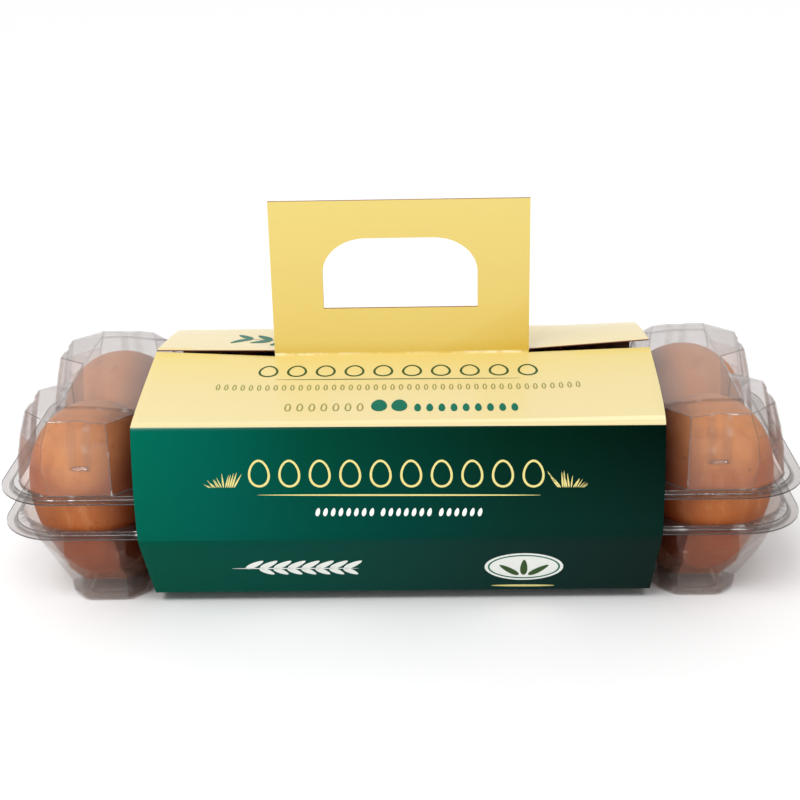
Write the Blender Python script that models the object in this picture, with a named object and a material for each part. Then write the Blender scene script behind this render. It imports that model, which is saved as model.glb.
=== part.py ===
"""Egg pack: ten brown eggs in a clear two-part tray, held shut by a card sleeve with a carry handle.

Metres, +Z up. The origin is at the middle of the footprint on the floor. The long side runs along
X, and the printed front faces -Y. Sizes are named in millimetres and scaled once, in mesh_object.
"""

import math
import random

import bmesh
import bpy
from mathutils import Matrix, Vector

MM = 0.001

# Eggs
COLUMNS = 5
ROWS = 2
PITCH_X = 48.5
PITCH_Y = 46.6
EGG_LENGTH = 59.0
EGG_WIDTH = 43.6
EGG_BOTTOM = 5.0
EGG_BLUNT = 0.13
EGG_SIDES = 18
EGG_RINGS = 9

# Clear plastic
WALL = 0.5
COLUMN_X = [PITCH_X * (i - (COLUMNS - 1) / 2) for i in range(COLUMNS)]
ROW_Y = PITCH_Y / 2
END_X = COLUMN_X[-1]

# Tray
TRAY_LIP = (125.8, 48.2, 19.5)
TRAY_LIP_BOTTOM = 28.3
TRAY_LIP_TOP = 28.8
TRAY_DECK = (122.6, 46.1, 16.0)
TRAY_DECK_TOP = 30.1
CUP_REACH = 22.0
CUP_END_REACH = 24.6
CUP_MIDDLE = [(18.9, 19.3), (14.2, 16.8)]
CUP_LEFT_END = [(22.0, 20.3), (14.4, 15.6)]
CUP_RIGHT_END = [(22.0, 20.9), (14.4, 17.4)]
MIDDLE_FOOT_LIFT = 3.8
FOOT_SHIFT = 2.0
FOOT_HALF = 12.7
FOOT_FACE = 7.2
FOOT_TOP = 8.2
FOOT_END_TOP = 4.2
FOOT_FILLET = [(0.0, 1.4), (0.4, 0.5), (1.6, 0.1)]

# Lid
LID_LIP = (126.0, 48.5, 20.0)
LID_LIP_TOP = 40.9
PLINTH = (122.6, 46.2, 16.5)
PLINTH_TOP = 42.2
DOME_FOOT = 42.4
DOME_WAIST = 58.4
SHOULDER = 65.5
PANEL = (105.6, 32.6, 66.8)
SLEEVE_PRESS = 1.3
PRESS_X = 84.0
FLUTE_HALF = 2.7
FLUTE_LEDGE = 51.0
FLUTE_DEPTH = 0.75
CORNER_STEPS = 5

# Card sleeve
CARD = 0.4
SLEEVE_HALF = 80.4
SKEW = 1.0
BOW_LEFT = 0.6
BOW_RIGHT = 1.8
BOW_STEPS = [(0.18, 0.95), (0.45, 0.9)]
FOLD = (44.8, 64.5)
BULGE = [(46.9, 56.5), (48.4, 48.7), (49.2, 41.5), (49.3, 34.9)]
CREASE = (49.2, 28.3)
BOTTOM = (37.2, 3.4)
BOTTOM_TAPER = 1.4
RIDGE = 70.9
HANDLE_HALF = 41.4
HANDLE_X = 0.8
HANDLE_TOP = 121.9
HANDLE_THICK = 0.9
HANDLE_LEAN = 1.2
HOLE_HALF = 24.8
HOLE_BOTTOM = 86.6
HOLE_TOP = 109.7
HOLE_ARC = (14.0, 11.4)
HOLE_STEPS = 8

SHELL_COLOUR = (0.62, 0.31, 0.16, 1.0)
CLEAR_COLOUR = (0.86, 0.87, 0.87, 0.35)
CARD_GREEN = (0.01, 0.13, 0.08, 1.0)


def clear_scene():
    for obj in list(bpy.data.objects):
        bpy.data.objects.remove(obj, do_unlink=True)


def material(name, colour, roughness):
    mat = bpy.data.materials.new(name)
    mat.use_nodes = True
    shader = mat.node_tree.nodes["Principled BSDF"]
    shader.inputs["Base Color"].default_value = colour
    shader.inputs["Roughness"].default_value = roughness
    shader.inputs["Alpha"].default_value = colour[3]
    return mat


def mesh_object(name, points, faces, mat=None, smooth=False):
    """An object from points in millimetres, its faces turned outwards."""
    mesh = bpy.data.meshes.new(name)
    mesh.from_pydata([(x * MM, y * MM, z * MM) for x, y, z in points], [], faces)
    body = bmesh.new()
    body.from_mesh(mesh)
    bmesh.ops.recalc_face_normals(body, faces=body.faces)
    bmesh.ops.triangulate(body, faces=body.faces, quad_method="BEAUTY", ngon_method="BEAUTY")
    body.to_mesh(mesh)
    body.free()
    for face in mesh.polygons:
        face.use_smooth = smooth
    obj = bpy.data.objects.new(name, mesh)
    bpy.context.scene.collection.objects.link(obj)
    if mat:
        mesh.materials.append(mat)
    return obj


def loft_faces(count, rings, first=0):
    """Quads between neighbouring closed rings of count points, laid one after another."""
    faces = []
    for ring in range(rings - 1):
        low = first + ring * count
        for i in range(count):
            j = (i + 1) % count
            faces.append((low + i, low + j, low + count + j, low + count + i))
    return faces


def capped_loft(rings):
    """Points and faces of a solid through closed rings, with flat ends."""
    count = len(rings[0])
    points = [point for ring in rings for point in ring]
    faces = loft_faces(count, len(rings))
    faces.append(tuple(range(count)))
    faces.append(tuple(range(len(points) - count, len(points))))
    return points, faces


def boolean(obj, other, operation):
    """Applies the join or cut, and takes the helper away."""
    cut = obj.modifiers.new(operation.title(), "BOOLEAN")
    cut.operation = operation
    cut.solver = "EXACT"
    cut.object = other
    graph = bpy.context.evaluated_depsgraph_get()
    result = bpy.data.meshes.new_from_object(obj.evaluated_get(graph))
    obj.modifiers.clear()
    old = obj.data
    obj.data = result
    bpy.data.meshes.remove(old)
    bpy.data.objects.remove(other, do_unlink=True)


def rounded_outline(half_x, half_y, radius, steps, z):
    """Closed ring round a rectangle with round corners, counter-clockwise from the +X side."""
    ring = []
    for turn, (sx, sy) in enumerate([(1, 1), (-1, 1), (-1, -1), (1, -1)]):
        centre_x = sx * (half_x - radius)
        centre_y = sy * (half_y - radius)
        for step in range(steps + 1):
            angle = math.pi / 2 * (turn + step / steps)
            ring.append(
                (centre_x + radius * math.cos(angle), centre_y + radius * math.sin(angle), z)
            )
    return ring


# Eggs


def egg_radius(height, width, blunt):
    """Radius at height from -1 at the pointed end to 1 at the blunt end."""
    widest = (math.sqrt(1 + 8 * blunt * blunt) - 1) / (4 * blunt)
    most = math.sqrt(1 - widest * widest) * (1 + blunt * widest)
    return width / 2 * math.sqrt(max(0.0, 1 - height * height)) * (1 + blunt * height) / most


def egg(name, centre, length, width, blunt, tilt, spin, mat):
    """One egg with its pointed end down."""
    points = [(0, 0, -length / 2)]
    for ring in range(1, EGG_RINGS + 1):
        height = -math.cos(math.pi * ring / (EGG_RINGS + 1))
        radius = egg_radius(height, width, blunt)
        for side in range(EGG_SIDES):
            angle = math.tau * side / EGG_SIDES
            points.append((radius * math.cos(angle), radius * math.sin(angle), height * length / 2))
    points.append((0, 0, length / 2))
    top = len(points) - 1
    faces = loft_faces(EGG_SIDES, EGG_RINGS, first=1)
    for side in range(EGG_SIDES):
        after = (side + 1) % EGG_SIDES
        faces.append((0, 1 + after, 1 + side))
        faces.append((top, top - EGG_SIDES + side, top - EGG_SIDES + after))
    turn = Matrix.Rotation(spin, 4, "Z") @ Matrix.Rotation(tilt, 4, "X")
    moved = [tuple(turn @ Vector(point) + Vector(centre)) for point in points]
    return mesh_object(name, moved, faces, mat, smooth=True)


def build_eggs(mat):
    chance = random.Random(11)
    for row in range(ROWS):
        for column in range(COLUMNS):
            length = EGG_LENGTH + chance.uniform(-0.7, 0.3)
            width = EGG_WIDTH + chance.uniform(-0.5, 0.2)
            blunt = EGG_BLUNT + chance.uniform(-0.02, 0.03)
            tilt = math.radians(chance.uniform(0.0, 0.7))
            spin = chance.uniform(0.0, math.tau)
            centre = (
                COLUMN_X[column],
                ROW_Y * (2 * row - 1),
                EGG_BOTTOM + length / 2,
            )
            name = f"egg_{'front' if row == 0 else 'back'}_{column + 1}"
            egg(name, centre, length, width, blunt, tilt, spin, mat)


# Tray


def octagon(x, y, left, right, side):
    """Ring round a cup. Left, right and side each give reach, half face width and height."""
    return [
        (x + right[0], y - right[1], right[2]),
        (x + right[0], y + right[1], right[2]),
        (x + side[1], y + side[0], side[2]),
        (x - side[1], y + side[0], side[2]),
        (x - left[0], y + left[1], left[2]),
        (x - left[0], y - left[1], left[2]),
        (x - side[1], y - side[0], side[2]),
        (x + side[1], y - side[0], side[2]),
    ]


def cup_rings(column, y, inset, top):
    """Rings of one cup from its foot up. An inset makes the hollow's rings from the outer ones."""
    x = COLUMN_X[column]
    end = (column == COLUMNS - 1) - (column == 0)
    floor = 0.0 if end else MIDDLE_FOOT_LIFT
    outward = {-1: CUP_LEFT_END, 0: CUP_MIDDLE, 1: CUP_RIGHT_END}[end]

    def ring(centre, plain, outer):
        plain, outer = [
            (reach - inset, face - inset * 0.41, z + inset) for reach, face, z in (plain, outer)
        ]
        left = outer if end < 0 else plain
        right = outer if end > 0 else plain
        return octagon(centre, y, left, right, plain)

    foot_x = x - end * FOOT_SHIFT
    rings = []
    for rise, cut in FOOT_FILLET:
        foot = (FOOT_HALF - cut, FOOT_FACE - cut * 0.41, floor + rise)
        rings.append(ring(foot_x, foot, foot))
    foot_top = FOOT_END_TOP if end else FOOT_TOP
    rings.append(ring(foot_x, (FOOT_HALF, FOOT_FACE, FOOT_TOP), (FOOT_HALF, FOOT_FACE, foot_top)))
    for (z, reach), (outer_z, outer_reach), face in zip(
        reversed(CUP_MIDDLE), reversed(outward), (8.6, 9.2)
    ):
        rings.append(ring(x, (reach, face, z), (outer_reach, face, outer_z)))
    rim = CUP_END_REACH if end else CUP_REACH
    rings.append(ring(x, (CUP_REACH, 9.2, top - inset), (rim, 9.8, top - inset)))
    return rings


def build_tray(mat):
    """A deck with a stepped lip, joined to the cups and cut by their hollows."""
    lip_x, lip_y, lip_r = TRAY_LIP
    deck_x, deck_y, deck_r = TRAY_DECK
    steps = 8
    rings = [
        rounded_outline(deck_x - 2.0, deck_y - 2.0, deck_r - 2.0, steps, TRAY_DECK_TOP - WALL),
        rounded_outline(deck_x - 0.7, deck_y - 0.7, deck_r - 0.7, steps, TRAY_LIP_BOTTOM),
        rounded_outline(lip_x, lip_y, lip_r, steps, TRAY_LIP_BOTTOM),
        rounded_outline(lip_x, lip_y, lip_r, steps, TRAY_LIP_TOP),
        rounded_outline(deck_x, deck_y, deck_r, steps, TRAY_LIP_TOP),
        rounded_outline(deck_x - 0.4, deck_y - 0.4, deck_r - 0.4, steps, TRAY_DECK_TOP),
    ]
    tray = mesh_object("tray", *capped_loft(rings), mat)
    cups = ([], [])
    hollows = ([], [])
    for column in range(COLUMNS):
        for side in (-1, 1):
            outer = capped_loft(cup_rings(column, side * ROW_Y, 0.0, TRAY_DECK_TOP - 0.25))
            inner = cup_rings(column, side * ROW_Y, WALL, TRAY_DECK_TOP)
            above = [(x, y, TRAY_DECK_TOP + 2.0) for x, y, _ in inner[-1]]
            for (points, faces), (more, new) in ((cups, outer), (hollows, capped_loft(inner + [above]))):
                start = len(points)
                points.extend(more)
                faces.extend(tuple(start + i for i in face) for face in new)
    boolean(tray, mesh_object("cups", *cups), "UNION")
    boolean(tray, mesh_object("hollows", *hollows), "DIFFERENCE")
    return tray


# Lid


def scalloped(z, reach, face, corner_face, notch_depth, notch_half, flute, inset=0.0):
    """Closed outline round the ten domes, counter-clockwise from the right front corner.

    Each side is a row of flat faces with a flute in each, parted by notches. Every outline has the
    same number of points, so any two of them can be joined.
    """
    front = ROW_Y + reach - inset
    end = END_X + reach - inset
    trim = inset * 0.41
    notch = notch_half - inset * 0.8

    def side(centres, pitch):
        """Pairs of distance along the side and depth inwards."""
        pairs = []
        for i, centre in enumerate(centres):
            low = corner_face if i == 0 else face
            high = corner_face if i == len(centres) - 1 else face
            pairs.append((centre - low + trim, 0.0))
            pairs.append((centre - FLUTE_HALF, 0.0))
            pairs.append((centre - FLUTE_HALF + 0.6, flute))
            pairs.append((centre + FLUTE_HALF - 0.6, flute))
            pairs.append((centre + FLUTE_HALF, 0.0))
            pairs.append((centre + high - trim, 0.0))
            if i < len(centres) - 1:
                pairs.append((centre + pitch / 2 - max(notch, 0.6), notch_depth))
                pairs.append((centre + pitch / 2 + max(notch, 0.6), notch_depth))
        return pairs

    sides = [
        [(end - depth, along, z) for along, depth in side([-ROW_Y, ROW_Y], PITCH_Y)],
        [(-along, front - depth, z) for along, depth in side(COLUMN_X, PITCH_X)],
        [(-end + depth, -along, z) for along, depth in side([-ROW_Y, ROW_Y], PITCH_Y)],
        [(along, -front + depth, z) for along, depth in side(COLUMN_X, PITCH_X)],
    ]
    ring = []
    for i, points in enumerate(sides):
        ring.extend(points)
        start = Vector(points[-1])
        stop = Vector(sides[(i + 1) % 4][0])
        for step in range(1, CORNER_STEPS):
            ring.append(tuple(start.lerp(stop, step / CORNER_STEPS)))
    return ring


def onto_rim(ring, rim, z):
    """The ring's points moved out to a rectangle with round corners."""
    half_x, half_y, radius = rim
    moved = []
    for x, y, _ in ring:
        straight_x = half_x - radius
        straight_y = half_y - radius
        sx = math.copysign(1.0, x)
        sy = math.copysign(1.0, y)
        if abs(x) > straight_x and abs(y) > straight_y:
            away = Vector((abs(x) - straight_x, abs(y) - straight_y)).normalized() * radius
            moved.append((sx * (straight_x + away.x), sy * (straight_y + away.y), z))
        elif abs(x) > straight_x:
            moved.append((sx * half_x, y, z))
        else:
            moved.append((x, sy * half_y, z))
    return moved


def onto_panel(ring, half_x, half_y, z):
    """The ring's points moved in to the edge of the raised middle panel."""
    return [(max(-half_x, min(half_x, x)), max(-half_y, min(half_y, y)), z) for x, y, _ in ring]


def pressed(ring):
    """The ring under the sleeve, which presses the top of the lid down a little."""
    return [
        (x, y, z - SLEEVE_PRESS * (abs(x) < PRESS_X) * (z > 60))
        for x, y, z in ring
    ]


def lid_surface(inset):
    """Rings of one side of the lid's wall, from the foot of the domes to the middle panel."""
    rings = [
        scalloped(DOME_FOOT - inset, 22.6, 9.3, 10.4, 12.9, 2.3, 0.0, inset),
        scalloped(FLUTE_LEDGE - 0.2 - inset, 21.6, 9.2, 12.2, 11.8, 4.6, 0.0, inset),
        scalloped(FLUTE_LEDGE + 0.2 - inset, 21.55, 9.2, 12.2, 11.75, 4.7, FLUTE_DEPTH, inset),
        scalloped(DOME_WAIST, 20.2, 9.0, 11.5, 10.4, 6.6, FLUTE_DEPTH, inset),
        scalloped(SHOULDER - inset, 18.5, 8.7, 9.3, 9.0, 8.3, FLUTE_DEPTH, inset),
    ]
    half_x, half_y, top = PANEL
    rings.append(onto_panel(rings[-1], half_x - inset, half_y - inset, top - inset))
    return [pressed(ring) for ring in rings]


def panel_faces(ring, start):
    """Faces that fill the middle panel: strips across it between like points of the long edges."""
    half_x = max(point[0] for point in ring)
    half_y = max(point[1] for point in ring)
    left = sorted((p[1], start + i) for i, p in enumerate(ring) if p[0] == -half_x)
    right = sorted((p[1], start + i) for i, p in enumerate(ring) if p[0] == half_x)
    inner = [(p, start + i) for i, p in enumerate(ring) if abs(p[0]) < half_x]
    front = sorted((p[0], i) for p, i in inner if p[1] == -half_y)
    back = sorted((p[0], i) for p, i in inner if p[1] == half_y)
    faces = []
    for i in range(len(front) - 1):
        faces.append((front[i][1], front[i + 1][1], back[i + 1][1], back[i][1]))
    for edge, (near_front, near_back) in (
        (left, (front[0][1], back[0][1])),
        (right, (front[-1][1], back[-1][1])),
    ):
        half = len(edge) // 2
        for i in range(len(edge) - 1):
            faces.append((edge[i][1], edge[i + 1][1], near_front if i < half else near_back))
        faces.append((near_front, near_back, edge[half][1]))
    return faces


def build_lid(mat):
    outer = lid_surface(0.0)
    inner = lid_surface(WALL)
    base = outer[0]
    x, y, r = PLINTH
    rings = list(reversed(inner))
    rings.append(onto_rim(base, (x - 0.9, y - 0.9, r - 0.9), PLINTH_TOP - WALL))
    rings.append(onto_rim(base, (x - 0.5, y - 0.5, r - 0.5), LID_LIP_TOP - WALL))
    rings.append(onto_rim(base, LID_LIP, LID_LIP_TOP - WALL))
    rings.append(onto_rim(base, LID_LIP, LID_LIP_TOP))
    rings.append(onto_rim(base, PLINTH, LID_LIP_TOP))
    rings.append(onto_rim(base, (x - 0.4, y - 0.4, r - 0.4), PLINTH_TOP))
    rings.extend(outer)
    count = len(base)
    points = [point for ring in rings for point in ring]
    faces = loft_faces(count, len(rings))
    faces += panel_faces(rings[0], 0)
    faces += panel_faces(rings[-1], count * (len(rings) - 1))
    lid = mesh_object("lid", points, faces, mat)
    body = bmesh.new()
    body.from_mesh(lid.data)
    bmesh.ops.remove_doubles(body, verts=body.verts, dist=1e-6)
    bmesh.ops.dissolve_degenerate(body, dist=1e-6, edges=body.edges)
    bmesh.ops.recalc_face_normals(body, faces=body.faces)
    body.to_mesh(lid.data)
    body.free()
    return lid


# Sleeve


def along(x, stops):
    """Value at x between (x, value) stops."""
    for (x0, v0), (x1, v1) in zip(stops, stops[1:]):
        if x <= x1:
            return v0 + (v1 - v0) * (x - x0) / (x1 - x0)
    return stops[-1][1]


def sleeve_profile(x):
    """The card's outer line in the YZ plane at x, from the front of the ridge round to its back."""
    left = HANDLE_X - HANDLE_HALF
    right = HANDLE_X + HANDLE_HALF
    end = SLEEVE_HALF
    front_y = along(x, [(-end, -0.3), (left, -0.5), (left + 6, -0.15), (right, -0.15), (end, -0.4)])
    front_z = RIDGE + along(x, [(-end, 1.7), (left, -0.3), (left + 6, 0.0), (right, 0.0), (end, 1.2)])
    back_y = along(x, [(-end, 0.3), (left, 1.0), (left + 6, 0.15), (right, 0.15), (end, 2.2)])
    back_z = RIDGE + along(x, [(-end, 2.1), (left, 0.5), (left + 6, 0.0), (right, 0.0), (end, 2.9)])
    bow = along(x, [(-end, BOW_LEFT), (left, 0.3), (right, 0.3), (end, BOW_RIGHT)])
    fold_y, fold_z = FOLD

    def top_panel(fold_y, ridge_y, ridge_z):
        """Points of a slightly bowed panel, from its fold up to the ridge."""
        points = []
        for share, height in [(0.0, 0.0)] + BOW_STEPS + [(1.0, 0.0)]:
            rise = (ridge_z - fold_z) * share + bow * height
            points.append((fold_y + (ridge_y - fold_y) * share, fold_z + rise))
        return points

    side = BULGE + [CREASE, BOTTOM]
    line = list(reversed(top_panel(-fold_y, front_y, front_z)))
    line += [(-y, z) for y, z in side]
    line += [(y, z) for y, z in reversed(side)]
    line += top_panel(fold_y, back_y, back_z)
    return line


def inwards(line, distance):
    """The line moved to its right, which is the inside of the sleeve, with square corners."""
    normals = []
    for (y0, z0), (y1, z1) in zip(line, line[1:]):
        length = math.hypot(y1 - y0, z1 - z0)
        normals.append((-(z1 - z0) / length, (y1 - y0) / length))
    moved = []
    for i, (y, z) in enumerate(line):
        before = normals[max(i - 1, 0)]
        after = normals[min(i, len(normals) - 1)]
        scale = distance / (1 + before[0] * after[0] + before[1] * after[1])
        moved.append((y + (before[0] + after[0]) * scale, z + (before[1] + after[1]) * scale))
    return moved


def card_end(x, y, z):
    """The card's ends lean in a little towards the bottom, and the back half sits a little to +X."""
    down = min(1.0, max(0.0, (CREASE[1] - z) / (CREASE[1] - BOTTOM[1])))
    back = min(1.0, max(0.0, 1.0 + y / FOLD[0]))
    lean = math.copysign(BOTTOM_TAPER * down, x) * (abs(x) == SLEEVE_HALF)
    return x - lean + SKEW * back * (x / SLEEVE_HALF) ** 2


def build_sleeve(mat):
    left = HANDLE_X - HANDLE_HALF
    right = HANDLE_X + HANDLE_HALF
    stations = [-SLEEVE_HALF, -66.0, -53.0, left, left + 6, HANDLE_X, right, 54.0, 67.0, SLEEVE_HALF]
    rings = []
    for x in stations:
        line = sleeve_profile(x)
        loop = line + list(reversed(inwards(line, CARD)))
        rings.append([(card_end(x, y, z), y, z) for y, z in loop])
    count = len(rings[0])
    points = [point for ring in rings for point in ring]
    faces = loft_faces(count, len(rings))
    for start in (0, len(points) - count):
        for i in range(count // 2 - 1):
            faces.append((start + i, start + i + 1, start + count - 2 - i, start + count - 1 - i))
    sleeve = mesh_object("sleeve", points, faces, mat)

    half = HANDLE_THICK / 2
    lean = [(RIDGE - 0.7, 0.0), (HOLE_BOTTOM - 6, 0.2), (HANDLE_TOP, HANDLE_LEAN)]
    rings = []
    for z, y in lean:
        rings.append(
            [(left, y - half, z), (right, y - half, z), (right, y + half, z), (left, y + half, z)]
        )
    boolean(sleeve, mesh_object("handle", *capped_loft(rings)), "UNION")

    outline = [(HANDLE_X - HOLE_HALF, HOLE_BOTTOM), (HANDLE_X + HOLE_HALF, HOLE_BOTTOM)]
    arc_x, arc_z = HOLE_ARC
    for side in (1, -1):
        for step in range(HOLE_STEPS + 1):
            angle = math.pi / 2 * (step if side > 0 else HOLE_STEPS - step) / HOLE_STEPS
            x = HANDLE_X + side * (HOLE_HALF - arc_x * (1 - math.cos(angle)))
            outline.append((x, HOLE_TOP - arc_z * (1 - math.sin(angle))))
    rings = [[(x, y, z) for x, z in outline] for y in (-4.0, 6.0)]
    boolean(sleeve, mesh_object("hole", *capped_loft(rings)), "DIFFERENCE")
    return sleeve


def main():
    clear_scene()
    clear = material("clear_plastic", CLEAR_COLOUR, 0.08)
    build_tray(clear)
    build_lid(clear)
    build_sleeve(material("printed_card", CARD_GREEN, 0.35))
    build_eggs(material("egg_shell", SHELL_COLOUR, 0.55))


main()
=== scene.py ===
"""Looks of the egg pack: brown eggs in a clear thermoformed tray and lid, inside a printed card sleeve.

Blender works in metres. Sizes here are named in millimetres and scaled by MM where a mesh is made.
X runs along the pack, the printed front faces -Y, and Z is up.
"""

import math
from contextlib import contextmanager
from functools import partial

import bmesh
import bpy
from mathutils import Matrix, Vector


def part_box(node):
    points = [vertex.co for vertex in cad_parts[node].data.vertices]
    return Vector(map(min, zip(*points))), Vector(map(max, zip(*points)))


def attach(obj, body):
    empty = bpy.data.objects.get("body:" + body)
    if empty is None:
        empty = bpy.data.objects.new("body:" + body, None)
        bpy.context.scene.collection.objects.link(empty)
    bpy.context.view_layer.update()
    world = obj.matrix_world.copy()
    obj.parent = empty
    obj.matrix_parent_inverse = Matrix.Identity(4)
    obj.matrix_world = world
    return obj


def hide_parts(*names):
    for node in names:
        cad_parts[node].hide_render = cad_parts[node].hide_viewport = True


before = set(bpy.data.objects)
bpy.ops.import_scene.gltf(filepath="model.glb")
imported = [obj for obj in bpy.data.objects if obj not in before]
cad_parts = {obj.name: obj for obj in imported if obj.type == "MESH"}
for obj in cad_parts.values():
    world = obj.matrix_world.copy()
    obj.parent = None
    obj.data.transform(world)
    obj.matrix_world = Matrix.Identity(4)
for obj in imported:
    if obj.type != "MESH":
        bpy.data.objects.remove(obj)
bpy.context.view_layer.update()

MM = 0.001

# Points nearer than this, in metres, are one
TOUCHING = 2e-6

# Places of the eggs and of the cups that hold them
COLUMNS = 5
PITCH_X = 48.5
PITCH_Y = 46.6
COLUMN_X = [PITCH_X * (i - (COLUMNS - 1) / 2) for i in range(COLUMNS)]
ROW_Y = PITCH_Y / 2
END_X = COLUMN_X[-1]

# Eggs: how much blunter their upper end is, the sides of a solid one, and the height and grain of lumps
EGG_BLUNT = 0.135
EGG_SIDES = 18
EGG_UNEVEN = 0.16
EGG_LUMP = 1.6
EGG_SEED_STEP = 3.7

# Clear sheet: its thickness, its bends and how many faces they have, and the bend that counts as sharp
SHEET = 0.4
CREASE_RADIUS = 0.3
LIP_RADIUS = 0.8
CREASE_STEPS = 3
MOST_OF_HALF = 0.46
SHARP_BEND = 2.2

# Tray: half length, half width and corner radius of its outlines, and heights
TRAY_LIP = (125.8, 48.2, 19.5)
TRAY_DECK = (122.6, 46.1, 16.0)
TRAY_LIP_Z = 28.8
TRAY_DECK_Z = 30.1
STEP_SLOPE = 0.4
DECK_STRIP = 0.9
LIP_STEPS = 12

# Cups: reach of the rim from the middle, wall creases as height, reach and half a face's width, and bends
CUP_WALL = 0.5
CUP_REACH = 22.0
CUP_END_REACH = 24.6
CUP_MIDDLE = [(14.2, 16.8, 8.6), (18.9, 19.3, 9.2)]
CUP_LEFT_END = [(14.4, 15.6, 8.6), (22.0, 20.3, 9.2)]
CUP_RIGHT_END = [(14.4, 17.4, 8.6), (22.0, 20.9, 9.2)]
CUP_RIM_FACE = (9.2, 9.8)
CUP_CORNER = 1.4
CUP_RIM_CORNER = 7.0
CUP_CREASE = 1.6 * CREASE_RADIUS
CUP_STEPS = 5

# Feet under the cups
MIDDLE_FOOT_LIFT = 3.8
FOOT_SHIFT = 2.0
FOOT_HALF = 12.7
FOOT_FACE = 7.2
FOOT_TOP = 8.2
FOOT_END_TOP = 4.2

# Where a cup's walls lie near its egg, where its inner corners end, and how far its rims reach
EGG_NEAR_FROM = 8.2
INNER_CORNER_X = END_X - 8.0
CUP_RIM_X = END_X + CUP_END_REACH
CUP_RIM_Y = ROW_Y + CUP_REACH

# How much an octagon's face narrows for each millimetre that it moves in
FACE_TRIM = 0.41

# Points of the hollow foot, from its middle out: rise above the floor and distance in from its side
FOOT_FILLET = [(1.5, 6.2), (0.0, 4.8), (0.0, 1.4), (0.4, 0.5), (1.6, 0.1)]

# Lid
LID_LIP = (126.0, 48.5, 20.0)
LID_LIP_Z = 40.9
PLINTH = (122.6, 46.2, 16.5)
PLINTH_Z = 42.2
DOME_FOOT = 42.4
DOME_WAIST = 58.4
DOME_FACE = 9.0
SHOULDER = 65.5
PANEL = (105.6, 32.6, 66.8)
PANEL_STEP = 0.5
SLEEVE_PRESS = 1.3
PRESS_START = 82.0
PRESS_END = 97.0
PRESS_ABOVE = 60.0
FLUTE_HALF = 3.0
FLUTE_SLOPE = 1.4
FLUTE_RADIUS = 0.9
FLUTE_LEDGE = 51.0
FLUTE_DEPTH = 0.75
CORNER_POINTS = 8

# Outlines round the domes from foot to shoulder: height, reach from an egg's middle, half a face's width,
# and that of one beside a corner, depth and half width of a notch, depth of a flute, swell of a corner
DOME_OUTLINES = (
    (DOME_FOOT, 22.6, 9.3, 10.4, 12.9, 2.3, 0.0, 2.0),
    (FLUTE_LEDGE - 0.3, 21.6, 9.2, 12.2, 11.8, 4.6, 0.0, 1.2),
    (FLUTE_LEDGE + 0.3, 21.5, 9.2, 12.2, 11.75, 4.7, FLUTE_DEPTH, 1.15),
    (DOME_WAIST, 20.2, 9.0, 11.5, 10.4, 6.6, FLUTE_DEPTH, 0.6),
    (SHOULDER, 18.5, 8.7, 9.3, 9.0, 8.3, FLUTE_DEPTH, 0.0),
)

# Share of an egg's brown that the clear faces round it carry, as painted reflection
FACE_BROWN = 1.0
INNER_CORNER_BROWN = 0.35
OUTER_CORNER_BROWN = 0.25
DOME_FOOT_BROWN = 0.6
DOME_WALL_BROWN = 0.35

# Least part of a face's unit normal that makes it a slanted one, an upright one, or one in front or behind
SLANTED = 0.3
UPRIGHT = 0.5
STRAIGHT = 0.97

# Card sleeve, as (y, z) of the line that the card follows round the pack
CARD = 0.4
SLEEVE_HALF = 80.4
SKEW = 1.0
FOLD = (44.8, 64.5)
BULGE = [(46.9, 56.5), (48.4, 48.7), (49.2, 41.5), (49.3, 34.9)]
CREASE = (49.2, 28.3)
BOTTOM = (37.2, 3.4)
BOTTOM_TAPER = 1.4
TAPER_START = 67.0
RIDGE = 70.9
HANDLE_HALF = 41.4
HANDLE_X = 0.8
HANDLE_TOP = 121.9
HANDLE_THICK = 0.9
HANDLE_LEAN = 1.2
HOLE_HALF = 24.8
HOLE_BOTTOM = 86.6
HOLE_TOP = 109.7
HOLE_ARC = (14.0, 11.4)
HOLE_STEPS = 16
HANDLE_LEFT = HANDLE_X - HANDLE_HALF
HANDLE_RIGHT = HANDLE_X + HANDLE_HALF
STATION = 2.4
PANEL_POINTS = 12
CUT_SPREAD = 36.0
FOLD_RADIUS = 1.0
SOFT_RADIUS = 4.0
FLAP_RADIUS = 0.8
BEND_STEPS = 5
FLAP_START = 72.6
HANDLE_END_GAP = 0.3

# The cut edges beside the handle at the sleeve's left end, the handle's ends and the sleeve's right end:
# distance from the middle and height above the ridge
CUT_EDGE = {
    -1: ((-0.3, -0.5, -0.45, -0.4), (1.7, -0.3, 0.0, 1.2)),
    1: ((0.3, 1.5, 1.1, 2.4), (2.1, 1.1, 0.8, 3.0)),
}

# How far the top panels bow up at the same places, and which way round the bow is fuller
BOWS = (0.6, 0.3, 0.3, 1.8)
BOW_LEAN = 0.62

# Where the back of the blank starts, past the front
BACK_SHIFT = 400.0

# Camera, placed to match the photograph
FOCAL_LENGTH = 65.25
SENSOR = 36.0
CAMERA_TARGET = (-0.09, 0.0, 54.44)
CAMERA_DISTANCE = 479.76
CAMERA_ELEVATION = 22.03
CAMERA_TURN = 1.566
CAMERA_ROLL = -1.273


def linear(code):
    """Linear colour from an sRGB hex code."""
    channels = [int(code[i : i + 2], 16) / 255 for i in (0, 2, 4)]
    return (*[c / 12.92 if c <= 0.04045 else ((c + 0.055) / 1.055) ** 2.4 for c in channels], 1.0)


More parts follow.
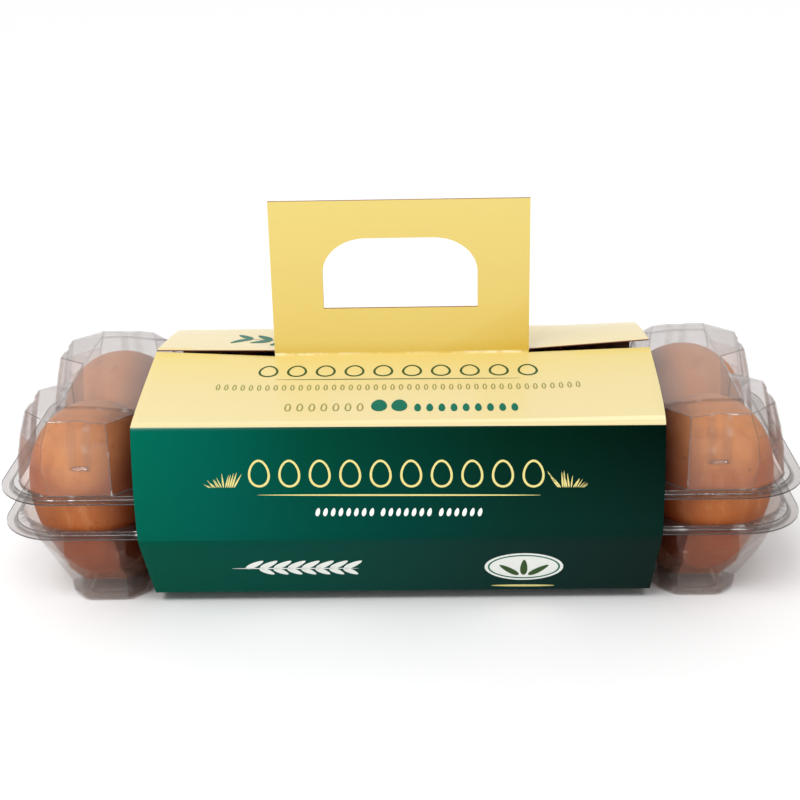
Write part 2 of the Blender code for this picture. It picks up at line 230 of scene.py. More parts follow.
# Nodes used often, by a short name: their kind, their settings and the order of their inputs
KINDS = {
    "noise": ("ShaderNodeTexNoise", {}, ("Vector", "Scale", "Detail", "Roughness")),
    "range": ("ShaderNodeMapRange", {}, range(5)),
    "ramp": ("ShaderNodeValToRGB", {}, range(1)),
    "mix": ("ShaderNodeMix", {"data_type": "RGBA"}, (0, 6, 7)),
    "bump": ("ShaderNodeBump", {}, ("Height", "Strength", "Distance")),
    "surface": ("ShaderNodeBsdfPrincipled", {}, ("Base Color", "Roughness", "Normal", "Specular IOR Level")),
    "gloss": ("ShaderNodeBsdfAnisotropic", {}, ("Color", "Roughness", "Normal")),
    "shader mix": ("ShaderNodeMixShader", {}, range(3)),
    "split": ("ShaderNodeSeparateXYZ", {}, range(1)),
    "vector": ("ShaderNodeCombineXYZ", {}, range(3)),
    "scale vector": ("ShaderNodeVectorMath", {"operation": "SCALE"}, (0, "Scale")),
}
SUMS = "ADD SUBTRACT MULTIPLY MULTIPLY_ADD DIVIDE POWER ABSOLUTE COMPARE GREATER_THAN LESS_THAN"
KINDS.update({name: ("ShaderNodeMath", {"operation": name}, range(3)) for name in SUMS.split()})


def add(tree, kind, *inputs, stops=(), **settings):
    """A new node. Its inputs follow each other in the order that KINDS gives, or are one dict.

    Each is a value, a colour's hex code, or the node, socket or list of them that it is linked to.
    """
    kind, usual, keys = KINDS.get(kind, (kind, {}, range(2)))
    node = tree.nodes.new(kind)
    for name, value in {**usual, **settings}.items():
        setattr(node, name, value)
    named = inputs[0] if inputs and isinstance(inputs[0], dict) else dict(zip(keys, inputs))
    for key, value in named.items():
        for source in value if isinstance(value, list) else [value]:
            if isinstance(source, bpy.types.Node):
                source = next(socket for socket in source.outputs if socket.enabled)
            if isinstance(source, bpy.types.NodeSocket):
                tree.links.new(source, node.inputs[key])
            else:
                node.inputs[key].default_value = linear(source) if isinstance(source, str) else source
    for i, (position, code) in enumerate(stops):
        elements = node.color_ramp.elements
        element = elements[i] if i < len(elements) else elements.new(position)
        element.position = position
        element.color = linear(code)
    return node


def blank_material(name):
    """A material without nodes, and the function that adds them to it."""
    mat = bpy.data.materials.new(name)
    mat.use_nodes = True
    mat.node_tree.nodes.clear()
    return mat, partial(add, mat.node_tree)


def in_scene(name, data):
    obj = bpy.data.objects.new(name, data)
    bpy.context.scene.collection.objects.link(obj)
    return obj


def share_between(value, start, stop):
    """How far value has come from start to stop, from 0 to 1."""
    return min(1.0, max(0.0, (value - start) / (stop - start)))


def eased(share):
    """The share with a soft start and end."""
    return share * share * (3 - 2 * share)


# Meshes


@contextmanager
def opened(mesh):
    """The mesh, open to changes of its points and faces."""
    body = bmesh.new()
    body.from_mesh(mesh)
    yield body
    body.to_mesh(mesh)
    body.free()


def mesh_object(name, points, faces, materials):
    """An object from points in millimetres, with doubles merged."""
    mesh = bpy.data.meshes.new(name)
    mesh.from_pydata([(x * MM, y * MM, z * MM) for x, y, z in points], [], faces)
    with opened(mesh) as body:
        bmesh.ops.remove_doubles(body, verts=body.verts, dist=TOUCHING)
        bmesh.ops.dissolve_degenerate(body, dist=TOUCHING / 2, edges=body.edges)
    mesh.shade_smooth()
    for mat in materials:
        mesh.materials.append(mat)
    return in_scene(name, mesh)


def loft_faces(count, rings, first=0):
    """Quads between neighbouring rings of count points laid one after another."""
    faces = []
    for low in range(first, first + (rings - 1) * count, count):
        for i in range(count):
            j = (i + 1) % count
            faces.append((low + i, low + j, low + count + j, low + count + i))
    return faces


def bend(before, corner, after, radius, steps):
    """Points of a small round bend in place of a corner, never past the middle of a side."""
    before, corner, after = Vector(before), Vector(corner), Vector(after)
    reach_in = min(radius, (before - corner).length * MOST_OF_HALF)
    reach_out = min(radius, (after - corner).length * MOST_OF_HALF)
    start = corner + (before - corner).normalized() * reach_in
    stop = corner + (after - corner).normalized() * reach_out
    points = []
    for step in range(steps + 1):
        t = step / steps
        points.append(tuple(start * (1 - t) ** 2 + corner * 2 * t * (1 - t) + stop * t**2))
    return points


def rounded(ring, radii, steps):
    """A closed ring with every corner made a bend, as round as its own radius says."""
    points = []
    for i, (corner, radius) in enumerate(zip(ring, radii)):
        points.extend(bend(ring[i - 1], corner, ring[(i + 1) % len(ring)], radius, steps))
    return points


def softened(rings, radii, steps):
    """Rings with every crease between them made a bend, as round as its own radius says."""
    result = [rings[0]]
    for before, crease, after, radius in zip(rings, rings[1:], rings[2:], radii):
        columns = [bend(a, b, c, radius, steps) for a, b, c in zip(before, crease, after)]
        result.extend(list(row) for row in zip(*columns))
    result.append(rings[-1])
    return result


def mark_bends(mesh):
    """Stores how tightly the sheet bends on each face, from 0 on a flat to 1 in a sharp crease."""
    with opened(mesh) as body:
        layer = body.faces.layers.float.new("bend")
        for face in body.faces:
            area = face.calc_area()
            turn = 0.0
            for edge in face.edges:
                if edge.is_manifold and area > 0.0:
                    turn += edge.calc_face_angle() / 2 * edge.calc_length() / area
            face[layer] = min(1.0, turn * MM / SHARP_BEND)


def finish_sheet(obj, thickness, rim_slot):
    """Gives an open sheet its thickness behind its faces, and keeps its flats flat in the light.

    The faces of its cut edge take the material rim_slot places on from their own.
    """
    mark_bends(obj.data)
    wall = obj.modifiers.new("thickness", "SOLIDIFY")
    wall.thickness = thickness * MM
    wall.offset = -1.0
    wall.use_even_offset = True
    wall.material_offset_rim = rim_slot
    normals = obj.modifiers.new("normals", "WEIGHTED_NORMAL")
    normals.weight = 100
    normals.keep_sharp = True


def turn_to(face, direction):
    """Turns a face over if it looks away from the direction."""
    face.normal_update()
    if face.normal.dot(direction) < 0:
        face.normal_flip()


def place_on_body(obj, slot, *nodes):
    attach(obj, "root")
    if nodes:
        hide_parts(*nodes)


# Clear lid


def face_corners(centre, low, high, flute, extra):
    """Corners of one dome's outer face, from its low end to its high end, with a flute in its middle.

    Each gives distance along the side, depth inwards and bend radius. Extra is -1 or 1 for a face whose low
    or high end is a corner of the lid, and gives it the points that the lip's round corner is drawn from.
    """
    end = {-1: low, 0: 0.0, 1: high}[extra]
    spread = [extra * (FLUTE_HALF + (end - FLUTE_HALF) * share) for share in (0.75, 0.5, 0.25)]
    inner = FLUTE_HALF - FLUTE_SLOPE
    flute_edges = [(-FLUTE_HALF, 0.0), (-inner, flute), (inner, flute), (FLUTE_HALF, 0.0)]
    return [
        (centre - low, 0.0, CREASE_RADIUS),
        *[(centre + reach, 0.0, CREASE_RADIUS) for reach in spread if extra < 0],
        *[(centre + reach, depth, FLUTE_RADIUS) for reach, depth in flute_edges],
        *[(centre + reach, 0.0, CREASE_RADIUS) for reach in spread[::-1] if extra > 0],
        (centre + high, 0.0, CREASE_RADIUS),
    ]


def scalloped(z, reach, face, corner_face, notch_depth, notch_half, flute, swell):
    """Closed outline round the ten domes: flat faces with a flute each, parted by notches.

    The faces across the four corners swell out by swell in their middle.
    """
    front = ROW_Y + reach
    end = END_X + reach

    def side(centres, pitch):
        corners = []
        last = len(centres) - 1
        for i, centre in enumerate(centres):
            low = corner_face if i == 0 else face
            high = corner_face if i == last else face
            corners += face_corners(centre, low, high, flute, (i == last) - (i == 0))
            if i < last:
                corners.append((centre + pitch / 2 - notch_half, notch_depth, CREASE_RADIUS))
                corners.append((centre + pitch / 2 + notch_half, notch_depth, CREASE_RADIUS))
        return corners

    short = side([-ROW_Y, ROW_Y], PITCH_Y)
    long = side(COLUMN_X, PITCH_X)
    sides = []
    for turn in (1, -1):
        sides.append([((turn * (end - depth), turn * along, z), radius) for along, depth, radius in short])
        sides.append([((-turn * along, turn * (front - depth), z), radius) for along, depth, radius in long])
    ring = []
    for i, corners in enumerate(sides):
        ring.extend(corners)
        start = Vector(corners[-1][0])
        stop = Vector(sides[(i + 1) % 4][0][0])
        along = stop - start
        outward = Vector((along.y, -along.x, 0.0)).normalized() * swell
        for step in range(1, CORNER_POINTS):
            t = step / CORNER_POINTS
            ring.append((tuple(start + along * t + outward * 4 * t * (1 - t)), CREASE_RADIUS))
    return rounded(*zip(*ring), CREASE_STEPS)


def onto_rim(ring, rim, z):
    """The ring's points moved out to a rectangle with round corners."""
    half_x, half_y, radius = rim
    straight_x, straight_y = half_x - radius, half_y - radius
    moved = []
    for x, y, _ in ring:
        past = Vector((abs(x) - straight_x, abs(y) - straight_y))
        if min(past) > 0:
            away = past.normalized() * radius
            moved.append((math.copysign(straight_x + away.x, x), math.copysign(straight_y + away.y, y), z))
        elif past.x > 0:
            moved.append((math.copysign(half_x, x), y, z))
        else:
            moved.append((x, math.copysign(half_y, y), z))
    return moved


def onto_panel(ring, half_x, half_y, z):
    """The ring's points moved in to a rectangle inside it."""
    return [(max(-half_x, min(half_x, x)), max(-half_y, min(half_y, y)), z) for x, y, _ in ring]


def pressed(ring):
    """The ring with its top pressed down a little where the sleeve lies on it."""
    shares = [eased(share_between(abs(x), PRESS_END, PRESS_START)) for x, _, _ in ring]
    return [(x, y, z - SLEEVE_PRESS * share * (z > PRESS_ABOVE)) for (x, y, z), share in zip(ring, shares)]


def panel_faces(ring, start):
    """Faces that fill the middle panel, in strips across it between like points of its long edges."""
    half_x = max(point[0] for point in ring)
    half_y = max(point[1] for point in ring)

    def along(axis, place, least):
        """Numbers of the points on one side of the panel, in order."""
        side = [(p[1 - axis], start + i) for i, p in enumerate(ring) if p[axis] == place]
        return [i for where, i in sorted(side) if abs(where) < least]

    front, back = along(1, -half_y, half_x), along(1, half_y, half_x)
    faces = [(a, b, d, c) for a, b, c, d in zip(front, front[1:], back, back[1:])]
    for x, end, turn in ((-half_x, 0, 1), (half_x, -1, -1)):
        edge = along(0, x, math.inf)
        half = len(edge) // 2
        for i, (low, high) in enumerate(zip(edge, edge[1:])):
            faces.append((high, low, front[end] if i < half else back[end])[::turn])
        faces.append((back[end], edge[half], front[end])[::turn])
    return faces


def mark_dome_corners(mesh):
    """Stores that the pack's four outer dome corners carry their egg's brown near their foot, as painted
    reflection.
    """
    near = mesh.attributes.new("near_egg", "FLOAT", "FACE")
    for face in mesh.polygons:
        x, y, z = [abs(value) / MM for value in face.center]
        diagonal = min(abs(face.normal.x), abs(face.normal.y)) > SLANTED
        if x > END_X + DOME_FACE and y > ROW_Y + DOME_FACE and diagonal and DOME_FOOT < z < DOME_WAIST:
            near.data[face.index].value = DOME_FOOT_BROWN if z < FLUTE_LEDGE else DOME_WALL_BROWN


def inset(outline, by):
    """A round-cornered outline, smaller by the same width all round."""
    return [size - by for size in outline]


def make_lid(clear, edge):
    """One sheet: lip, plinth, ten domes with notches between them, and a raised middle panel."""
    foot, *walls, shoulder = [scalloped(*outline) for outline in DOME_OUTLINES]
    half_x, half_y, top = PANEL
    rings = [
        onto_rim(foot, LID_LIP, LID_LIP_Z),
        onto_rim(foot, PLINTH, LID_LIP_Z),
        onto_rim(foot, inset(PLINTH, STEP_SLOPE), PLINTH_Z),
        foot,
        *walls,
        shoulder,
        onto_panel(shoulder, half_x, half_y, top - PANEL_STEP),
        onto_panel(shoulder, half_x - PANEL_STEP, half_y - PANEL_STEP, top),
    ]
    radii = [LIP_RADIUS] + [CREASE_RADIUS] * (len(rings) - 3)
    rings = [pressed(ring) for ring in softened(rings, radii, CREASE_STEPS)]
    count = len(rings[0])
    faces = loft_faces(count, len(rings)) + panel_faces(rings[-1], count * (len(rings) - 1))
    lid = mesh_object("clear_lid", [point for ring in rings for point in ring], faces, [clear, edge])
    mark_dome_corners(lid.data)
    finish_sheet(lid, SHEET, 1)
    place_on_body(lid, "clear_plastic", "lid")


# Clear tray


def octagon(x, y, left, right, side):
    """Ring round a cup. Left, right and side each give reach, half face width and height."""
    return [
        (x + right[0], y - right[1], right[2]),
        (x + right[0], y + right[1], right[2]),
        (x + side[1], y + side[0], side[2]),
        (x - side[1], y + side[0], side[2]),
        (x - left[0], y + left[1], left[2]),
        (x - left[0], y - left[1], left[2]),
        (x - side[1], y - side[0], side[2]),
        (x + side[1], y - side[0], side[2]),
    ]


def cup_rings(column, y):
    """Rings of the inner face of one cup, from its foot up to the deck."""
    x = COLUMN_X[column]
    end = (column == COLUMNS - 1) - (column == 0)
    floor = 0.0 if end else MIDDLE_FOOT_LIFT
    outward = {-1: CUP_LEFT_END, 0: CUP_MIDDLE, 1: CUP_RIGHT_END}[end]

    def ring(centre, plain, outer, corner=CUP_CORNER):
        trim = CUP_WALL * FACE_TRIM
        plain, outer = [(reach - CUP_WALL, face - trim, z + CUP_WALL) for reach, face, z in (plain, outer)]
        left = outer if end < 0 else plain
        right = outer if end > 0 else plain
        return rounded(octagon(centre, y, left, right, plain), [corner] * 8, CUP_STEPS)

    foot_x = x - end * FOOT_SHIFT
    rings = []
    for rise, cut in FOOT_FILLET:
        foot = (FOOT_HALF - cut, FOOT_FACE - cut * FACE_TRIM, floor + rise)
        rings.append(ring(foot_x, foot, foot))
    foot_top = FOOT_END_TOP if end else FOOT_TOP
    rings.append(ring(foot_x, (FOOT_HALF, FOOT_FACE, FOOT_TOP), (FOOT_HALF, FOOT_FACE, foot_top)))
    for (z, reach, face), (outer_z, outer_reach, _) in zip(CUP_MIDDLE, outward):
        rings.append(ring(x, (reach, face, z), (outer_reach, face, outer_z)))
    height = TRAY_DECK_Z - CUP_WALL
    plain = (CUP_REACH, CUP_RIM_FACE[0], height)
    outer = (CUP_END_REACH if end else CUP_REACH, CUP_RIM_FACE[1], height)
    rings.append(ring(x, plain, outer, CUP_RIM_CORNER))
    return rings


def rounded_outline(half_x, half_y, radius, z):
    """Closed ring round a rectangle with round corners, counter-clockwise from the +X side."""
    ring = []
    for turn, (sx, sy) in enumerate([(1, 1), (-1, 1), (-1, -1), (1, -1)]):
        for step in range(LIP_STEPS + 1):
            angle = math.pi / 2 * (turn + step / LIP_STEPS)
            x = sx * (half_x - radius) + radius * math.cos(angle)
            ring.append((x, sy * (half_y - radius) + radius * math.sin(angle), z))
    return ring


def make_tray(clear, edge):
    """One sheet: lip, step, flat deck and ten cups that hang from it."""
    rim = [
        rounded_outline(*TRAY_LIP, TRAY_LIP_Z),
        rounded_outline(*TRAY_DECK, TRAY_LIP_Z),
        rounded_outline(*inset(TRAY_DECK, STEP_SLOPE), TRAY_DECK_Z),
        rounded_outline(*inset(TRAY_DECK, DECK_STRIP), TRAY_DECK_Z),
    ]
    rim = softened(rim, (LIP_RADIUS, CREASE_RADIUS), CREASE_STEPS)
    points = [point for ring in rim for point in ring]
    faces = loft_faces(len(rim[0]), len(rim))
    loops = [rim[-1]]
    for column in range(COLUMNS):
        for side in (-1, 1):
            rings = cup_rings(column, side * ROW_Y)
            rings = softened(rings, [CUP_CREASE] * (len(rings) - 2), CREASE_STEPS)
            start = len(points)
            count = len(rings[0])
            points.extend(point for ring in rings for point in ring)
            faces.extend(face[::-1] for face in loft_faces(count, len(rings), start))
            faces.append(tuple(range(start, start + count)))
            loops.append(rings[-1])
    tray = mesh_object("clear_tray", points, faces, [clear, edge])
    fill_deck(tray.data, loops)
    mark_cup_faces(tray.data)
    finish_sheet(tray, SHEET, 1)
    place_on_body(tray, "clear_plastic", "tray")


def mark_cup_faces(mesh):
    """Stores how much of its egg's brown each cup wall carries as painted reflection, most in front and
    behind.

    Walls and corners that face the next column lie in each other's shade and are marked so.
    """
    near = mesh.attributes.new("near_egg", "FLOAT", "FACE")
    shaded = mesh.attributes.new("next_column", "FLOAT", "FACE")
    for face in mesh.polygons:
        x, y, z = [abs(value) / MM for value in face.center]
        across = Vector(face.normal.xy)
        if x >= CUP_RIM_X or y >= CUP_RIM_Y or across.length < UPRIGHT:
            continue
        inner = x < INNER_CORNER_X and abs(across.x) > SLANTED * across.length
        shaded.data[face.index].value = float(inner)
        if z > EGG_NEAR_FROM:
            straight = abs(across.y) > STRAIGHT * across.length
            corner = INNER_CORNER_BROWN if inner else OUTER_CORNER_BROWN
            near.data[face.index].value = FACE_BROWN if straight else corner


def fill_deck(mesh, loops):
    """Fills the flat between the tray's edge and the rims of its cups."""
    body = bmesh.new()
    edges = []
    for loop in loops:
        corners = [body.verts.new(Vector(point) * MM) for point in loop]
        edges += [body.edges.new(pair) for pair in zip(corners, corners[1:] + corners[:1])]
    bmesh.ops.triangle_fill(body, use_beauty=True, edges=edges)
    for face in body.faces:
        face.smooth = False
        turn_to(face, (0, 0, 1))
    body.from_mesh(mesh)
    bmesh.ops.remove_doubles(body, verts=body.verts, dist=TOUCHING)
    body.to_mesh(mesh)
    body.free()


# Eggs


def blank_nodes(name, inputs):
    """A Geometry Nodes tree, the function that adds nodes to it, and its inputs by name and kind."""
    tree = bpy.data.node_groups.new(name, "GeometryNodeTree")
    tree.interface.new_socket("Geometry", in_out="OUTPUT", socket_type="NodeSocketGeometry")
    for label, kind in inputs.items():
        tree.interface.new_socket(label, in_out="INPUT", socket_type="NodeSocket" + kind)
    node = partial(add, tree)
    return tree, node, node("NodeGroupInput").outputs


def end_nodes(node, shape, material):
    """Ends a Geometry Nodes tree in one plain mesh of one material."""
    real = node("GeometryNodeRealizeInstances", shape)
    dressed = node("GeometryNodeSetMaterial", {"Geometry": real, "Material": material})
    node("NodeGroupOutput", dressed)


def egg_form():
    """A node tree that shapes a sphere into an egg with its blunt end up."""
    sizes = dict.fromkeys(("Half Width", "Half Length", "Blunt", "Unevenness", "Seed"), "Float")
    tree, node, given = blank_nodes("egg_form", {**sizes, "Middle": "Vector", "Shell": "Material"})
    sphere = node("GeometryNodeMeshUVSphere", {"Segments": 96, "Rings": 64, "Radius": 1.0})
    place = node("GeometryNodeInputPosition")
    height = node("split", place).outputs["Z"]
    swell = node("MULTIPLY_ADD", height, given["Blunt"], 1.0)
    across = node("MULTIPLY", swell, given["Half Width"])
    size = node("vector", across, across, given["Half Length"])
    shape = node("ShaderNodeVectorMath", place, size, operation="MULTIPLY")
    lumps = {"Vector": place, "W": given["Seed"], "Scale": EGG_LUMP, "Detail": 2.0}
    rough = node("noise", lumps, noise_dimensions="4D")
    signed = node("SUBTRACT", rough, 0.5)
    amount = node("MULTIPLY", signed, given["Unevenness"])
    push = node("scale vector", place, amount)
    uneven = node("ShaderNodeVectorMath", shape, push, operation="ADD")
    egg = node("GeometryNodeSetPosition", {"Geometry": sphere, "Position": uneven})
    moved = node("GeometryNodeTransform", {"Geometry": egg, "Translation": given["Middle"]})
    end_nodes(node, node("GeometryNodeSetShadeSmooth", moved), given["Shell"])
    return tree


def from_nodes(name, tree, values):
    """A plain mesh object made by a node tree from its named inputs."""
    holder = in_scene(name + "_maker", bpy.data.meshes.new(name + "_maker"))
    maker = holder.modifiers.new("maker", "NODES")
    maker.node_group = tree
    sockets = {item.name: item.identifier for item in tree.interface.items_tree if item.in_out == "INPUT"}
    for key, value in values.items():
        maker[sockets[key]] = value
    graph = bpy.context.evaluated_depsgraph_get()
    mesh = bpy.data.meshes.new_from_object(holder.evaluated_get(graph))
    mesh.name = name
    bpy.data.objects.remove(holder, do_unlink=True)
    return in_scene(name, mesh)


def make_eggs(shell):
    """Ten eggs, each as long and as wide as its solid."""
    tree = egg_form()
    widest = (math.sqrt(1 + 8 * EGG_BLUNT**2) - 1) / (4 * EGG_BLUNT)
    most = math.sqrt(1 - widest**2) * (1 + EGG_BLUNT * widest)
    for i, name in enumerate(sorted(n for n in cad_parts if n.startswith("egg_"))):
        low, high = [Vector(corner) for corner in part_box(name)]
        size = high - low
        width = max(size.x, size.y) / math.cos(math.pi / EGG_SIDES / 2)
        values = {
            "Half Width": width / 2 / most,
            "Half Length": size.z / 2,
            "Blunt": EGG_BLUNT,
            "Unevenness": EGG_UNEVEN * MM * 2,
            "Seed": i * EGG_SEED_STEP,
            "Middle": (low + high) / 2,
            "Shell": shell,
        }
        egg = from_nodes("brown_" + name, tree, values)
        place_on_body(egg, "egg_shell", name)


# Card sleeve


def along_sleeve(x, values):
    """Value at x between those at the sleeve's left end, the handle's ends and the sleeve's right end."""
    places = (-SLEEVE_HALF, HANDLE_LEFT, HANDLE_RIGHT, SLEEVE_HALF)
    for x0, x1, v0, v1 in zip(places, places[1:], values, values[1:]):
        if x <= x1:
            return v0 + (v1 - v0) * (x - x0) / (x1 - x0)
    return values[-1]


def blend(a, b, share):
    """The point that lies share of the way from a to b."""
    return tuple(u + (v - u) * share for u, v in zip(a, b))


def ridge(x, side, down):
    """Where one top panel starts, as (y, z): in the handle's base, or past its ends at the cut edge.

    Further down the panel, the step between the two is spread over more of the sleeve's length.
    """
    base = (side * HANDLE_THICK / 2, RIDGE)
    past = max(HANDLE_LEFT - x, x - HANDLE_RIGHT)
    share = eased(share_between(past, 0.0, HANDLE_END_GAP + CUT_SPREAD * down))
    cut_y, cut_rise = [along_sleeve(x, values) for values in CUT_EDGE[side]]
    return blend(base, (cut_y, RIDGE + cut_rise), share)


def half_line(x, side):
    """Points (y, z) of the card's outer face from the ridge down to the middle of the bottom.

    The second value is the index of the fold's middle.
    """
    fold = (side * FOLD[0], FOLD[1])
    bow = along_sleeve(x, BOWS)
    line = []
    for step in range(PANEL_POINTS):
        share = 1 - step / PANEL_POINTS
        y, z = blend(fold, ridge(x, side, 1 - share), share)
        line.append((y, z + bow * math.sin(math.pi * share**BOW_LEAN)))
    corners = [line[-1], fold, *[(side * y, z) for y, z in (*BULGE, CREASE, BOTTOM)], (0.0, BOTTOM[1])]
    radii = [FOLD_RADIUS] + [SOFT_RADIUS] * (len(BULGE) + 1) + [FOLD_RADIUS]
    for before, corner, after, radius in zip(corners, corners[1:], corners[2:], radii):
        line += bend(before, corner, after, radius, BEND_STEPS)
    line.append(corners[-1])
    return line, PANEL_POINTS + BEND_STEPS // 2


def card_point(x, y, z):
    """The card's ends lean in a little towards the bottom, and the back half sits a little to +X."""
    down = share_between(z, CREASE[1], BOTTOM[1])
    back = share_between(y, -FOLD[0], 0.0)
    lean = math.copysign(BOTTOM_TAPER * down * share_between(abs(x), TAPER_START, SLEEVE_HALF), x)
    return x - lean + SKEW * back * share_between(abs(x), HANDLE_RIGHT, SLEEVE_HALF), y, z


def lengths(line, zero):
    """Distance along the line of each of its points, from the one at index zero."""
    total = [0.0]
    for a, b in zip(line, line[1:]):
        total.append(total[-1] + math.dist(a, b))
    return [value - total[zero] for value in total]


def flap_y(z, side):
    """Outer face of the handle's layer on one side, which leans back a little."""
    return side * HANDLE_THICK / 2 + HANDLE_LEAN * share_between(z, RIDGE, HANDLE_TOP)


def card_corner(body, side, x, y, z, s):
    """A vertex of the card and its place on the flat blank, in millimetres.

    The back's places run the other way, past the front's.
    """
    return body.verts.new(Vector(card_point(x, y, z)) * MM), (x if side < 0 else BACK_SHIFT - x, s)


def stations():
    """Places along the sleeve where its line is worked out, with the handle's ends among them."""
    count = round(2 * SLEEVE_HALF / STATION)
    places = [-SLEEVE_HALF + 2 * SLEEVE_HALF * i / count for i in range(count + 1)]
    near = [x for x in places if min(abs(x - HANDLE_LEFT), abs(x - HANDLE_RIGHT)) > STATION / 3]
    ends = [HANDLE_LEFT - HANDLE_END_GAP, HANDLE_LEFT, HANDLE_RIGHT, HANDLE_RIGHT + HANDLE_END_GAP]
    return sorted(near + ends)


def hole_outline():
    """The finger hole's outline in x and z, flat below and with elliptical upper corners."""
    outline = [(HANDLE_X - HOLE_HALF, HOLE_BOTTOM), (HANDLE_X + HOLE_HALF, HOLE_BOTTOM)]
    arc_x, arc_z = HOLE_ARC
    for side in (1, -1):
        for step in range(HOLE_STEPS + 1)[::side]:
            angle = math.pi / 2 * step / HOLE_STEPS
            x = HANDLE_X + side * (HOLE_HALF - arc_x * (1 - math.cos(angle)))
            outline.append((x, HOLE_TOP - arc_z * (1 - math.sin(angle))))
    return outline


def sleeve_half(body, layer, side):
    """Adds one half of the folded blank: its panels, then its layer of the handle."""
    columns = []
    for x in stations():
        line, fold = half_line(x, side)
        first, *along_card = lengths(line, fold)
        if HANDLE_LEFT <= x <= HANDLE_RIGHT:
            start = (flap_y(FLAP_START, side), FLAP_START)
            head = [start, *bend(start, line[0], line[1], FLAP_RADIUS, BEND_STEPS)]
        else:
            head = [None] * (BEND_STEPS + 1) + [line[0]]
        points = [point and (*point, first - (point[1] - line[0][1])) for point in head]
        points += [(y, z, s) for (y, z), s in zip(line[1:], along_card)]
        columns.append([point and card_corner(body, side, x, *point) for point in points])
    for a, b in zip(columns, columns[1:]):
        for corners in zip(a, a[1:], b[1:], b):
            if all(corners):
                add_face(body, layer, corners[::-side])
    bottom = [column[0] for column in columns if column[0]]
    top_edge = [corner_on_flap(body, x, HANDLE_TOP, side) for x in (HANDLE_RIGHT, HANDLE_LEFT)]
    hole = [corner_on_flap(body, x, z, side) for x, z in hole_outline()]
    fill_flap(body, layer, [bottom + top_edge, hole], side)


def corner_on_flap(body, x, z, side):
    """A corner of the handle, whose card runs on straight past the ridge."""
    line, fold = half_line(x, side)
    return card_corner(body, side, x, flap_y(z, side), z, lengths(line, fold)[0] - (z - RIDGE))


def add_face(body, layer, corners):
    """A smooth face of the card, with its place on the blank as its UV."""
    face = body.faces.new([vertex for vertex, _ in corners])
    face.smooth = True
    for loop, (_, place) in zip(face.loops, corners):
        loop[layer].uv = place


def fill_flap(body, layer, loops, side):
    """Fills the handle's layer round its finger hole."""
    places = {}
    edges = []
    for loop in loops:
        for (vertex, place), (after, _) in zip(loop, loop[1:] + loop[:1]):
            places[vertex] = place
            edges.append(body.edges.get((vertex, after)) or body.edges.new((vertex, after)))
    filled = bmesh.ops.triangle_fill(body, use_beauty=True, edges=edges)
    for face in [item for item in filled["geom"] if isinstance(item, bmesh.types.BMFace)]:
        turn_to(face, (0, side, 0))
        for loop in face.loops:
            loop[layer].uv = places[loop.vert]


def make_sleeve(printed, glossy, inside, edge):
    """The folded blank as one sheet of card, handle and all."""
    mesh = bpy.data.meshes.new("card_sleeve")
    with opened(mesh) as body:
        layer = body.loops.layers.uv.new("blank")
        for side in (-1, 1):
            sleeve_half(body, layer, side)
        bmesh.ops.remove_doubles(body, verts=body.verts, dist=TOUCHING)
    sleeve = in_scene("card_sleeve", mesh)
    # Outer face, back and cut edge, each for the soft varnish and for the glossy one
    for mat in (printed, glossy, inside, inside, edge, edge):
        mesh.materials.append(mat)
    for face in mesh.polygons:
        corners = mesh.uv_layers["blank"].data[face.loop_start : face.loop_start + face.loop_total]
        heights = [corner.uv.y for corner in corners]
        face.material_index = int(min(heights) > -HANDLE_CREASE - SLACK and max(heights) < GLOSS_END)
    finish_sheet(sleeve, CARD, 4)
    sleeve.modifiers["thickness"].material_offset = 2
    place_on_body(sleeve, "printed_card", "sleeve")


# Materials

# Half the height of the step in a lip, and how far from the lip the sheet starts and ends to be thin
LIP_RISE = 0.45
THIN_START = 18.0
THIN_END = 26.0

# The least share of painted egg reflection that turns the sheet's haze brown and dims its mirror
BROWNED = 0.3

# Where painted shade on an end egg's flanks beside the sleeve is darkest, where that ends and where such
# eggs start, from the pack's middle
FLANK_START = 80.0
FLANK_END = 98.5
END_EGG_FROM = END_X * 0.75

# Heights between which the shell's browns run, darker low on the egg as painted shade and paler near its
# top as painted light, and how far its clouds shift them up and down
BROWNS_START = 10.0
BROWNS_END = 70.0
CLOUD_SHIFT = 6.0

# Sizes of the patterns in millimetres
DRAW_RIPPLE = 11.0
CREASE_DASH = 3.8
SHELL_CLOUD = 22.0
SHELL_SMEAR = 7.0
SHELL_SPECK = 2.4
SHELL_PORE = 0.45
BOARD_FIBRE = 1.4
FOLD_CRACK = 3.6
LINER_FLECK = 1.7
INK_MOTTLE = 1.1
FLOOR_TOOTH = 0.33


def per_metre(size):
    """Scale of a noise whose grains are size millimetres wide."""
    return 1 / (size * MM)


